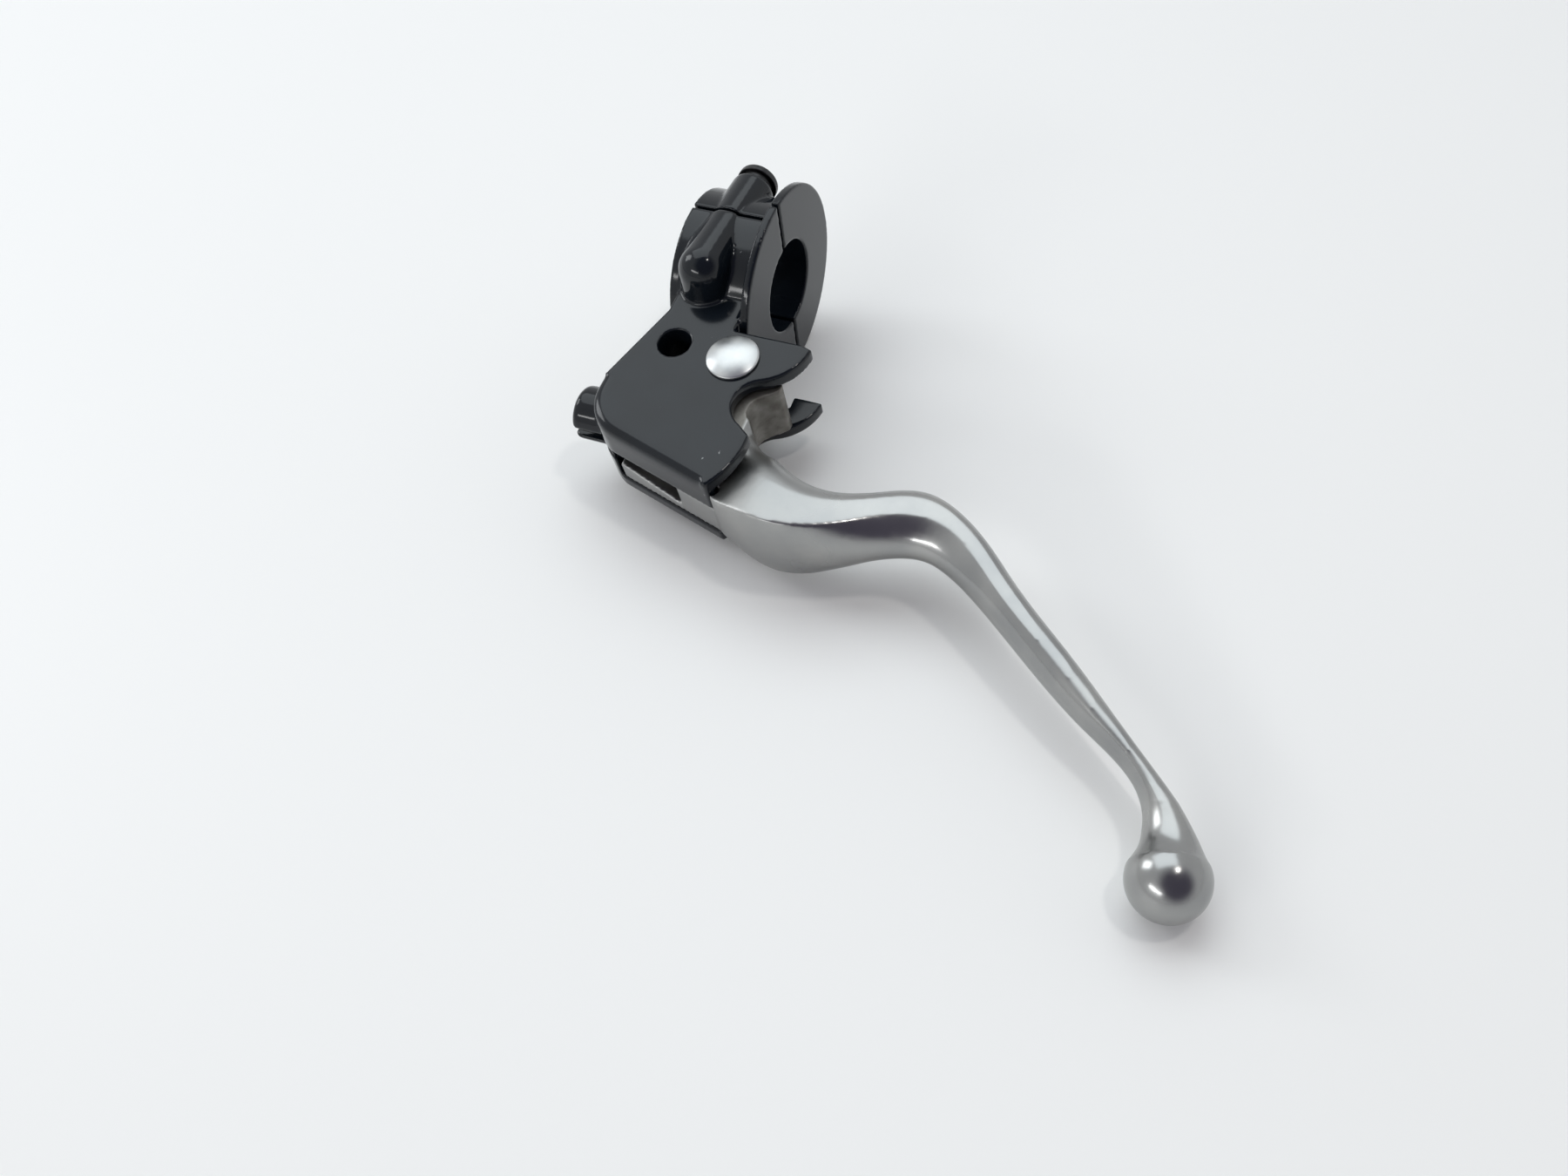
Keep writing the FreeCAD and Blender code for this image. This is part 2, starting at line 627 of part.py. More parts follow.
def make_pin():
    """Headed pin through both ears, with a groove for the ring below the lower ear."""
    top = EAR_OUTSIDE
    tail = "(-%s - Dims.pin_tail)" % EAR_OUTSIDE
    seat = "(-%s - Dims.ring_play)" % EAR_OUTSIDE
    head = "(Dims.pin_radius + Dims.pin_head_rim)"
    groove = "(Dims.pin_radius - Dims.ring_groove_depth)"
    crown = "((%s ^ 2 + Dims.pin_crown ^ 2) / (2 * Dims.pin_crown))" % head
    profile = [
        ("0", tail),
        ("Dims.pin_radius - Dims.pin_chamfer", tail),
        ("Dims.pin_radius", tail + " + Dims.pin_chamfer"),
        ("Dims.pin_radius", seat + " - Dims.ring_thickness"),
        (groove, seat + " - Dims.ring_thickness"),
        (groove, seat),
        ("Dims.pin_radius", seat),
        ("Dims.pin_radius", top),
        (head, top),
        (head, top + " + Dims.pin_head_height - Dims.pin_crown", crown, 1),
        ("0", top + " + Dims.pin_head_height"),
    ]
    body = new_body("pivot_pin")
    revolve(draw_outline(new_sketch(body, "Turned", "XZ_Plane"), profile))
    place_at_pivot(body)


def make_ring():
    """E-shaped retaining ring: a flat ring, open on one side, snapped into the groove."""
    body = new_body("pivot_retaining_ring")
    groove = "(Dims.pin_radius - Dims.ring_groove_depth)"
    ring = new_sketch(body, "Ring", "XY_Plane")
    draw_circle(ring, "0", "0", "Dims.pin_radius + Dims.ring_rim")
    draw_circle(ring, "0", "0", groove + " + 0.02")
    pad(ring, "Dims.ring_thickness", reverse=True)
    mouth = new_sketch(body, "Mouth", "XY_Plane")
    half = groove + " * 0.85"
    pocket(draw_outline(mouth, box_corners("-" + half, half, "-" + CLEAR, "0")), CLEAR)
    place_at_pivot(body, z="-%s - Dims.ring_play" % EAR_OUTSIDE)


def make_bushing():
    body = new_body("pivot_bushing")
    tube = new_sketch(body, "Tube", "XY_Plane")
    draw_circle(tube, "0", "0", BUSHING)
    draw_circle(tube, "0", "0", "Dims.pin_radius + Dims.bushing_gap")
    pad(tube, "2 * " + LEVER_HALF, symmetric=True)
    place_at_pivot(body)


def make_anchor():
    """Upright barrel that the cable's end hooks into through a cross hole."""
    body = new_body("cable_anchor_pin")
    barrel = draw_circle(new_sketch(body, "Barrel", "XY_Plane"), "0", "0", "Dims.anchor_radius")
    pad(barrel, "2 * (%s - Dims.anchor_end_gap)" % LEVER_HALF, symmetric=True)
    hole = draw_circle(new_sketch(body, "CrossHole", "YZ_Plane"), "0", "0", "Dims.anchor_hole_radius")
    pocket(hole, CLEAR)
    place_at_pivot(body, "Dims.anchor_x", "Dims.anchor_y")


# ---- lever -------------------------------------------------------------------------

def from_corner(name):
    """X and Y of a place that is measured from the ears' front corner."""
    return ("Dims.corner_x + Dims.%s_x" % name, "Dims.corner_y + Dims.%s_y" % name)


def plate_outline():
    """Plan of the lever's plate between the ears, counter-clockwise from the front corner."""
    return [
        from_corner("root_front"),
        from_corner("root_rear"),
        ("Dims.waist_x", "Dims.waist_front", "Dims.waist_radius", -1),
        ("Dims.waist_x", "Dims.waist_rear"),
        ("Dims.shoulder_x", "Dims.shoulder_front"),
        ("Dims.shoulder_x", "Dims.shoulder_rear"),
        (HUB + " * cos(46 deg)", HUB + " * sin(46 deg)", HUB, 1),
        ("-" + HUB, "0"),
        ("Dims.plate_step_x", "Dims.plate_rear"),
        ("Dims.slot_left + Dims.plate_gap", "Dims.plate_rear"),
        ("Dims.slot_left + Dims.plate_gap", front_edge("Dims.slot_left + Dims.plate_gap", "Dims.front_gap")),
        ("Dims.corner_x", front_edge("Dims.corner_x", "Dims.front_gap")),
    ]


def cut_cable_slot(body):
    """Slot across the plate for the cable, its floor falling towards the outboard end."""
    sketch = new_sketch(body, "CableSlot", "XZ_Plane", z="-Dims.slot_rear")
    corners = [
        ("-" + CLEAR, "Dims.slot_floor_left"),
        ("Dims.slot_left + Dims.plate_gap", "Dims.slot_floor_left"),
        ("Dims.slot_end_x", "Dims.slot_floor_right"),
        ("Dims.slot_end_x", "-Dims.slot_floor_left"),
        ("-" + CLEAR, "-Dims.slot_floor_left"),
    ]
    pocket(draw_outline(sketch, corners), CLEAR, symmetric=False, reverse=True)


def make_plate():
    body = new_body("lever_plate")
    pad(draw_outline(new_sketch(body, "Plan", "XY_Plane"), plate_outline()), "2 * " + LEVER_HALF, symmetric=True)
    cut_cable_slot(body)
    pocket(draw_circle(new_sketch(body, "PivotBore", "XY_Plane"), "0", "0", BUSHING), CLEAR)
    anchor = new_sketch(body, "AnchorBore", "XY_Plane")
    pocket(draw_circle(anchor, "Dims.anchor_x", "Dims.anchor_y", "Dims.anchor_radius + Dims.anchor_gap"), CLEAR)
    return body


def station_wire(front, rear, half, ridge):
    """Section of the arm: an upright front, a ridge, a top that falls to a round rear."""
    across = rear - front
    width = across.Length
    crest = width * ridge
    fall = width - crest
    shoulder = crest + fall * 0.55

    def at(along, height):
        point = front + across * (along / width)
        return FreeCAD.Vector(point.x, point.y, height)

    upper = [
        [at(0, 0), at(0, half * 0.55), at(crest * 0.5, half * 0.84), at(crest, half)],
        [at(crest, half), at(crest + fall * 0.2, half), at(crest + fall * 0.4, half), at(shoulder, half * 0.97)],
        [at(shoulder, half * 0.97), at(width - fall * 0.12, half * 0.85), at(width, half * 0.5), at(width, 0)],
    ]
    lower = [[FreeCAD.Vector(p.x, p.y, -p.z) for p in reversed(curve)] for curve in reversed(upper)]
    edges = []
    for poles in upper + lower:
        curve = Part.BezierCurve()
        curve.setPoles(poles)
        edges.append(curve.toShape())
    return Part.Wire(edges)


def point_from_corner(name):
    x, y = from_corner(name)
    return FreeCAD.Vector(value(x), value(y), 0)


def ear_space(start, rise):
    """The ears' plan with room round it, drawn up or down from the height start."""
    plan = Part.Face(doc.getObject("Ears").Shape.Wires[0]).makeOffset2D(value("Dims.lever_side_gap"))
    return plan.translated(FreeCAD.Vector(0, 0, start)).extrude(FreeCAD.Vector(0, 0, rise))


def make_lip_space():
    """Room for the bracket's lip: the ears' plan ahead of a round about the pivot.

    Outboard of the pivot the round runs on as a straight band along the lip.
    """
    angle = "(Dims.front_angle * 1 deg)"
    lip_face = "(-Dims.corner_y * cos%s - Dims.corner_x * sin%s)" % (angle, angle)
    reach = value("%s - Dims.lip_thickness - Dims.lip_clearance" % lip_face)
    start = value("Dims.lip_bottom - Dims.lever_side_gap")
    rise = value(CLEAR)
    kept = Part.makeBox(rise, 2 * reach, rise, FreeCAD.Vector(0, -reach, start))
    kept.rotate(FreeCAD.Vector(), FreeCAD.Vector(0, 0, 1), -value("Dims.front_angle"))
    kept = kept.fuse(Part.makeCylinder(reach, rise, FreeCAD.Vector(0, 0, start)))
    space = doc.addObject("Part::Feature", "lip_space")
    space.Shape = ear_space(start, rise).cut(kept)
    return space


def make_arm():
    """Arm lofted through the stations and ending inside the ball, clear of the ears."""
    wires = []
    for name, *_ in STATIONS:
        half = value("%s + Dims.%s_rise" % (LEVER_HALF, name))
        ridge = value("Dims.%s_ridge" % name)
        front = point_from_corner(name + "_front")
        rear = point_from_corner(name + "_rear")
        wires.append(station_wire(front, rear, half, ridge))
    reach = value("Dims.ball_radius") * 0.62
    centre = point_from_corner("ball")
    front = centre + FreeCAD.Vector(-reach, reach * 0.3, 0)
    rear = centre + FreeCAD.Vector(reach, reach * 0.5, 0)
    wires.append(station_wire(front, rear, reach, 0.5))
    top = value("%s - 0.7 * Dims.lever_side_gap" % EAR_INSIDE)
    rise = value(CLEAR)
    loft = Part.makeLoft(wires, True, False)
    arm = doc.addObject("Part::Feature", "lever_arm")
    arm.Shape = loft.cut(ear_space(top, rise)).cut(ear_space(-top, -rise))
    return arm


def make_ball():
    ball = doc.addObject("Part::Sphere", "lever_ball")
    ball.setExpression("Radius", "Dims.ball_radius")
    x, y = from_corner("ball")
    ball.setExpression("Placement.Base.x", x)
    ball.setExpression("Placement.Base.y", y)
    return ball


def make_lever():
    whole = doc.addObject("Part::MultiFuse", "lever_whole")
    whole.Shapes = [make_plate(), make_arm(), make_ball()]
    lever = doc.addObject("Part::Cut", "hand_lever")
    lever.Label = "hand_lever"
    lever.Base = whole
    lever.Tool = make_lip_space()
    place_at_pivot(lever)
    doc.recompute()


# ---- build and write ---------------------------------------------------------------

make_bracket()
make_clamp()
for level, direction in (("upper", 1), ("lower", -1)):
    make_screw(level + "_clamp_screw", direction)
    make_washer(level + "_clamp_washer", direction)
make_pin()
make_ring()
make_bushing()
make_anchor()
make_lever()

NODES = [
    "lever_bracket",
    "handlebar_clamp",
    "upper_clamp_screw",
    "upper_clamp_washer",
    "lower_clamp_screw",
    "lower_clamp_washer",
    "pivot_pin",
    "pivot_retaining_ring",
    "pivot_bushing",
    "cable_anchor_pin",
    "hand_lever",
]


def check_document():
    for item in doc.Objects:
        if "Invalid" in item.State or "Error" in item.State:
            raise RuntimeError("%s failed: %s" % (item.Name, item.State))
    for node in NODES:
        shape = doc.getObject(node).Shape
        if shape.isNull() or not shape.isValid() or len(shape.Solids) != 1:
            raise RuntimeError("%s is not one valid solid" % node)


doc.recompute()
check_document()
os.makedirs("parts", exist_ok=True)
for node in NODES:
    doc.getObject(node).Shape.exportStep("parts/%s.step" % node)
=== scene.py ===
"""Left-hand motorcycle clutch lever: its looks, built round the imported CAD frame.  Metres."""
import math
import bpy
from mathutils import Matrix, Vector


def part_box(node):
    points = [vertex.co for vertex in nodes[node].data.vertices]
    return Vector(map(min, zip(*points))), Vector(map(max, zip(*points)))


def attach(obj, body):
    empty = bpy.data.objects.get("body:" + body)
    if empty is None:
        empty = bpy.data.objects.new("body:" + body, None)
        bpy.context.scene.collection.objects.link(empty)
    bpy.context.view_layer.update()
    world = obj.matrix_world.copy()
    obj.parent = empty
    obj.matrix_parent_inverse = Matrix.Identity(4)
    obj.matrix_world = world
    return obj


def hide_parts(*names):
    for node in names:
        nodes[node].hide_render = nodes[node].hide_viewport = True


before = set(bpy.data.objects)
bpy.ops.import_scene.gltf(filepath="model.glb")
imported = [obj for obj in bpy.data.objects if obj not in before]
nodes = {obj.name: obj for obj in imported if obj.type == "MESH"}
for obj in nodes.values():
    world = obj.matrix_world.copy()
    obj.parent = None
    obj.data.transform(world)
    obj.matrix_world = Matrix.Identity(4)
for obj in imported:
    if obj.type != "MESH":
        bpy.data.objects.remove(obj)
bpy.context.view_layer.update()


# ---- Camera ---------------------------------------------------------------------------
# A phone camera held above the bench, ahead and outboard of the bracket, looking down at
# it with the phone turned a little.

MM = 0.001
CAMERA_PLACE = Vector((161.6, -239.2, 307.0)) * MM
CAMERA_AZIMUTH = math.radians(37.07)
CAMERA_ELEVATION = math.radians(58.6)
CAMERA_ROLL = math.radians(-17.47)

camera_data = bpy.data.cameras.new("camera")
camera_data.lens = 34.0
camera_data.sensor_width = 36.0
camera_data.clip_start = 0.01
camera = bpy.data.objects.new("camera", camera_data)
bpy.context.scene.collection.objects.link(camera)
camera.matrix_world = (
    Matrix.Translation(CAMERA_PLACE)
    @ Matrix.Rotation(CAMERA_AZIMUTH, 4, "Z")
    @ Matrix.Rotation(math.pi / 2 - CAMERA_ELEVATION, 4, "X")
    @ Matrix.Rotation(CAMERA_ROLL, 4, "Z")
)
bpy.context.scene.camera = camera


# ---- Bench top and light --------------------------------------------------------------
# A pale board just below the clamp's flange and the ball end, so it leans a little against
# the lever's own mid-plane.  A panel, a window, a tube and a bulb light it, and the room is
# darker toward the camera.

clamp_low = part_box("handlebar_clamp")[0]
lever_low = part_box("hand_lever")[0]
BALL_RADIUS = 9.3 * MM
BENCH_GAP = 0.3 * MM
BENCH_SIZE = 6
BOARD_COLOUR = (0.93, 0.93, 0.915, 1)
BOARD_ROUGHNESS = 0.5
LEVER_MIDDLE = Vector((0.06, -0.06, 0))
ROOM_LIGHT = (0.69, 0.7, 0.71, 1)
ROOM_DARK = (0.12, 0.11, 0.15, 1)
# The darkest direction lies this far beside the camera, and the room darkens between
# these two cosines to it.
DARK_OFFSET = Vector((60, 40, 0)) * MM
DARK_FROM = 0.58
DARK_FULL = 0.84

ball_bottom = Vector((0, lever_low.y + BALL_RADIUS, -BALL_RADIUS))
flange_bottom = Vector((0, 0, clamp_low.z))
bench_lean = math.atan2(flange_bottom.z - ball_bottom.z, flange_bottom.y - ball_bottom.y)
bpy.ops.object.select_all(action="DESELECT")
bpy.ops.mesh.primitive_plane_add(size=BENCH_SIZE)
bench = bpy.context.object
bench.name = "bench_top"
bench.data.transform(
    Matrix.Translation(flange_bottom - Vector((0, 0, BENCH_GAP))) @ Matrix.Rotation(bench_lean, 4, "X")
)

board = bpy.data.materials.new("pale_board")
board.use_nodes = True
shader = board.node_tree.nodes["Principled BSDF"]
shader.inputs["Base Color"].default_value = BOARD_COLOUR
shader.inputs["Roughness"].default_value = BOARD_ROUGHNESS
bench.data.materials.append(board)


def add_softbox(name, place, width, height, radiance, colour=(1, 1, 1)):
    """A rectangular soft light at place that faces the lever; its face shines with radiance."""
    data = bpy.data.lights.new(name, "AREA")
    data.shape = "RECTANGLE"
    data.size = width
    data.size_y = height
    data.energy = radiance * math.pi * width * height
    data.color = colour
    light = bpy.data.objects.new(name, data)
    bpy.context.scene.collection.objects.link(light)
    light.location = place
    light.rotation_euler = (LEVER_MIDDLE - Vector(place)).to_track_quat("-Z", "Y").to_euler()


def remap(tree_nodes, links, source, low, high, to_low, to_high):
    """Map source from low..high to to_low..to_high, clamped."""
    node = tree_nodes.new("ShaderNodeMapRange")
    for name, size in (("From Min", low), ("From Max", high), ("To Min", to_low), ("To Max", to_high)):
        node.inputs[name].default_value = size
    links.new(source, node.inputs["Value"])
    return node.outputs["Result"]


def mix_colours(tree_nodes, links, share, first, second):
    """Blend two colours, each an RGBA tuple or a socket, by the share socket."""
    node = tree_nodes.new("ShaderNodeMix")
    node.data_type = "RGBA"
    links.new(share, node.inputs[0])
    for socket, colour in ((node.inputs[6], first), (node.inputs[7], second)):
        if isinstance(colour, tuple):
            socket.default_value = colour
        else:
            links.new(colour, socket)
    return node.outputs[2]


add_softbox(
    "ceiling_panel", (-0.22, 0.5, 0.9), width=1.1, height=0.9, radiance=1.35, colour=(0.88, 0.96, 1)
)
add_softbox(
    "side_window", (-0.95, 0.1, 0.6), width=0.35, height=0.5, radiance=4, colour=(0.95, 0.98, 1)
)
add_softbox("tube_lamp", (-0.3, -1.0, 0.6), width=0.7, height=0.1, radiance=9)
add_softbox("bulb", (0.45, 0.15, 1.0), width=0.09, height=0.09, radiance=45, colour=(1, 0.97, 0.93))

room = bpy.context.scene.world or bpy.data.worlds.new("room")
bpy.context.scene.world = room
room.use_nodes = True
room_nodes = room.node_tree.nodes
room_links = room.node_tree.links
toward_dark = (CAMERA_PLACE - LEVER_MIDDLE + DARK_OFFSET).normalized()
direction = room_nodes.new("ShaderNodeTexCoord")
facing = room_nodes.new("ShaderNodeVectorMath")
facing.operation = "DOT_PRODUCT"
facing.inputs[1].default_value = toward_dark
room_links.new(direction.outputs["Generated"], facing.inputs[0])
shade = remap(room_nodes, room_links, facing.outputs["Value"], DARK_FROM, DARK_FULL, 0, 1)
room_colour = mix_colours(room_nodes, room_links, shade, ROOM_LIGHT, ROOM_DARK)
room_links.new(room_colour, room_nodes["Background"].inputs["Color"])
bpy.context.scene.view_settings.view_transform = "Standard"


# ---- Bracket --------------------------------------------------------------------------
# One aluminium casting: two ears, the front half of the clamp and the cable's socket.
# Its edges are softly rounded all over, most of all along the upper ear's front and heel,
# and it is powder coated gloss black.

MERGE_DISTANCE = 0.002 * MM
BRACKET_GRAIN = 0.46 * MM
CAST_SMOOTHING = 3
SMOOTHING_FACTOR = 0.5
EARS_CORNER = Vector((23.4, -74.9)) * MM
FRONT_ANGLE = math.radians(15.3)
EARS_INWARD = Vector((math.sin(FRONT_ANGLE), math.cos(FRONT_ANGLE)))
HEEL_CENTRE = Vector((-3.5, -53.7)) * MM
HEEL_RADIUS = 13.5 * MM
EAR_TOP = 13.05 * MM
FRONT_ROUND = 3.4 * MM
FRONT_FULL_SHARE = 1.3
FRONT_HEIGHT = 4.5 * MM
FRONT_SMOOTHING = 130
CORNER_MARGIN = 1.5 * MM
HEEL_MARGIN = 4 * MM
# A noise texture stays between these two for most of its area.
NOISE_LOW = 0.3
NOISE_HIGH = 0.7
# Noise scales are in grains per metre.
COAT_BLOTCHES = 90
COAT_DUST = 420
COAT_PEEL = 700
COAT_PEEL_DEPTH = 0.04 * MM
DUST_COLOUR = (0.4, 0.42, 0.42, 1)


def copy_of(node, name):
    """A selected copy of a CAD node with its seams merged and no materials."""
    bpy.ops.object.select_all(action="DESELECT")
    piece = bpy.data.objects.new(name, nodes[node].data.copy())
    bpy.context.scene.collection.objects.link(piece)
    bpy.context.view_layer.objects.active = piece
    piece.select_set(True)
    piece.data.materials.clear()
    bpy.ops.object.mode_set(mode="EDIT")
    bpy.ops.mesh.select_all(action="SELECT")
    bpy.ops.mesh.remove_doubles(threshold=MERGE_DISTANCE)
    bpy.ops.object.mode_set(mode="OBJECT")
    return piece


def cast_from(node, name, grain, smoothing):
    """A copy of a CAD node as one closed skin with soft edges and blended corners."""
    piece = copy_of(node, name)
    skin = piece.modifiers.new("skin", "REMESH")
    skin.mode = "VOXEL"
    skin.voxel_size = grain
    bpy.ops.object.modifier_apply(modifier=skin.name)
    soften = piece.modifiers.new("soften", "SMOOTH")
    soften.factor = SMOOTHING_FACTOR
    soften.iterations = smoothing
    bpy.ops.object.modifier_apply(modifier=soften.name)
    bpy.ops.object.shade_smooth()
    return piece


def soften_where(piece, name, share_at, iterations):
    """Smooth the piece further where share_at(vertex place) is above zero."""
    bpy.ops.object.select_all(action="DESELECT")
    bpy.context.view_layer.objects.active = piece
    piece.select_set(True)
    group = piece.vertex_groups.new(name=name)
    for vertex in piece.data.vertices:
        share = share_at(vertex.co)
        if share > 0:
            group.add([vertex.index], min(share, 1), "REPLACE")
    soften = piece.modifiers.new(name, "SMOOTH")
    soften.factor = SMOOTHING_FACTOR
    soften.iterations = iterations
    soften.vertex_group = name
    bpy.ops.object.modifier_apply(modifier=soften.name)


def new_material(name):
    """A material with one Principled shader: returns it, its nodes, its links and the shader."""
    material = bpy.data.materials.new(name)
    material.use_nodes = True
    tree = material.node_tree
    return material, tree.nodes, tree.links, tree.nodes["Principled BSDF"]


def noise(tree_nodes, links, scale, detail, vector=None):
    """A noise texture on Object coordinates: scale is in grains per metre."""
    texture = tree_nodes.new("ShaderNodeTexNoise")
    texture.inputs["Scale"].default_value = scale
    texture.inputs["Detail"].default_value = detail
    if vector is None:
        vector = tree_nodes.new("ShaderNodeTexCoord").outputs["Object"]
    links.new(vector, texture.inputs["Vector"])
    return texture.outputs["Fac"]


def spread(tree_nodes, links, source, to_low, to_high):
    """Map a noise to to_low..to_high."""
    return remap(tree_nodes, links, source, NOISE_LOW, NOISE_HIGH, to_low, to_high)


def add_bump(tree_nodes, links, shader, height, strength, depth):
    """Give the shader a relief from the height socket; depth is in metres."""
    node = tree_nodes.new("ShaderNodeBump")
    node.inputs["Strength"].default_value = strength
    node.inputs["Distance"].default_value = depth
    links.new(height, node.inputs["Height"])
    links.new(node.outputs["Normal"], shader.inputs["Normal"])


def make_powder_coat():
    """Gloss black powder coat: a faint orange peel, and a few specks of dust on it."""
    material, tree_nodes, links, shader = new_material("black_powder_coat")
    blotches = noise(tree_nodes, links, COAT_BLOTCHES, detail=3)
    tone = spread(tree_nodes, links, blotches, 0, 1)
    coat = mix_colours(tree_nodes, links, tone, (0.004, 0.006, 0.009, 1), (0.007, 0.010, 0.014, 1))
    dust = noise(tree_nodes, links, COAT_DUST, detail=1)
    specks = remap(tree_nodes, links, dust, low=0.80, high=0.82, to_low=0, to_high=0.6)
    dusty_coat = mix_colours(tree_nodes, links, specks, coat, DUST_COLOUR)
    links.new(dusty_coat, shader.inputs["Base Color"])
    roughness = remap(tree_nodes, links, blotches, low=0.25, high=0.75, to_low=0.09, to_high=0.15)
    links.new(roughness, shader.inputs["Roughness"])
    shader.inputs["IOR"].default_value = 1.42
    peel = noise(tree_nodes, links, COAT_PEEL, detail=2)
    add_bump(tree_nodes, links, shader, peel, strength=0.1, depth=COAT_PEEL_DEPTH)
    return material


def front_round_share(place):
    """1 on the upper ear's front edge and heel, falling to 0 further in."""
    if place.z < EAR_TOP - FRONT_HEIGHT or place.x > EARS_CORNER.x - CORNER_MARGIN:
        return 0
    from_front = (place.xy - EARS_CORNER).dot(EARS_INWARD)
    from_heel = HEEL_RADIUS - (place.xy - HEEL_CENTRE).length
    in_heel = place.x < HEEL_CENTRE.x and place.y < HEEL_CENTRE.y + HEEL_MARGIN
    depth = min(from_front, from_heel) if in_heel else from_front
    return FRONT_FULL_SHARE - depth / FRONT_ROUND


powder_coat = make_powder_coat()
bracket = cast_from("lever_bracket", "cast_bracket", BRACKET_GRAIN, CAST_SMOOTHING)
soften_where(bracket, "front_round", front_round_share, FRONT_SMOOTHING)
bracket.data.materials.append(powder_coat)
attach(bracket, "bracket")
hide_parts("lever_bracket")


# ---- Handlebar clamp ------------------------------------------------------------------
# The rear half of the clamp, cast and coated as the bracket is.

CLAMP_GRAIN = 0.36 * MM

clamp = cast_from("handlebar_clamp", "cast_clamp", CLAMP_GRAIN, CAST_SMOOTHING)
clamp.data.materials.append(powder_coat)
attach(clamp, "bracket")
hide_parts("handlebar_clamp")


# ---- Clamp screws and washers ---------------------------------------------------------
# Two turned button-head screws with hexagon sockets pull the clamp half on; each has a
# plain washer under its head.  Both are steel with black oxide.

CLAMP_TILT = math.radians(7)
SCREW_X = -1.5 * MM
SCREW_HEIGHT = 17.0 * MM
SCREW_RADIUS = 3.1 * MM
SCREW_TIP = -10.0 * MM
SCREW_CHAMFER = 0.5 * MM
WASHER_FRONT = 16.2 * MM
WASHER_BACK = 18.1 * MM
WASHER_RADIUS = 4.85 * MM
WASHER_HOLE = 3.3 * MM
HEAD_RADIUS = 5.8 * MM
HEAD_BACK = 20.3 * MM
HEAD_CROWN = 0.9 * MM
CROWN_STEPS = 6
SOCKET_CORNER = 4.0 * MM / math.sqrt(3)
SOCKET_FLOOR = 18.8 * MM
EDGE_BREAK = 0.15 * MM
SHARP_ANGLE = math.radians(35)
METAL_GRIT = 2200
METAL_GRIT_DEPTH = 0.02 * MM


def turned(name, rings, segments=72):
    """A closed turned piece on Z: rings are (radius, height) from the bottom up."""
    bpy.ops.object.select_all(action="DESELECT")
    radius, height = rings[0]
    bpy.ops.mesh.primitive_circle_add(vertices=segments, radius=radius, fill_type="NGON")
    piece = bpy.context.object
    piece.name = name
    bpy.ops.object.mode_set(mode="EDIT")
    bpy.ops.mesh.select_all(action="SELECT")
    bpy.ops.transform.translate(value=(0, 0, height))
    for next_radius, next_height in rings[1:]:
        rise = {"value": (0, 0, next_height - height)}
        bpy.ops.mesh.extrude_region_move(TRANSFORM_OT_translate=rise)
        grow = next_radius / radius
        bpy.ops.transform.resize(value=(grow, grow, 1), center_override=(0, 0, next_height))
        radius, height = next_radius, next_height
    bpy.ops.mesh.select_all(action="SELECT")
    bpy.ops.mesh.normals_make_consistent(inside=False)
    bpy.ops.object.mode_set(mode="OBJECT")
    bpy.ops.object.shade_smooth_by_angle(angle=SHARP_ANGLE)
    return piece


def cut_with_prism(piece, sides, radius, low, high, turn=None):
    """Cut a prism or round hole out of the piece: upright, or laid over by the turn matrix."""
    bpy.ops.object.select_all(action="DESELECT")
    bpy.ops.mesh.primitive_cylinder_add(vertices=sides, radius=radius, depth=high - low)
    cutter = bpy.context.object
    cutter.data.transform(Matrix.Translation((0, 0, (low + high) / 2)))
    if turn:
        cutter.data.transform(turn)
    bpy.ops.object.select_all(action="DESELECT")
    bpy.context.view_layer.objects.active = piece
    piece.select_set(True)
    hole = piece.modifiers.new("hole", "BOOLEAN")
    hole.operation = "DIFFERENCE"
    hole.object = cutter
    bpy.ops.object.modifier_apply(modifier=hole.name)
    bpy.data.objects.remove(cutter)
    bpy.ops.object.shade_smooth_by_angle(angle=SHARP_ANGLE)


def make_metal(name, dark, light, roughness, blotch_scale, bump):
    """A plain metal whose tone and roughness drift between two values."""
    material, tree_nodes, links, shader = new_material(name)
    clouds = noise(tree_nodes, links, blotch_scale, detail=4)
    tone = spread(tree_nodes, links, clouds, 0, 1)
    links.new(mix_colours(tree_nodes, links, tone, dark, light), shader.inputs["Base Color"])
    links.new(spread(tree_nodes, links, clouds, *roughness), shader.inputs["Roughness"])
    shader.inputs["Metallic"].default_value = 1
    grit = noise(tree_nodes, links, METAL_GRIT, detail=2)
    add_bump(tree_nodes, links, shader, grit, bump, METAL_GRIT_DEPTH)
    return material


def crown_rings(radius, rim, rise, steps):
    """Rings of a quarter-round edge of radius rise, from the rim's height up."""
    rings = []
    for step in range(1, steps + 1):
        angle = math.pi / 2 * step / steps
        rings.append((radius - rise * (1 - math.cos(angle)), rim + rise * math.sin(angle)))
    return rings


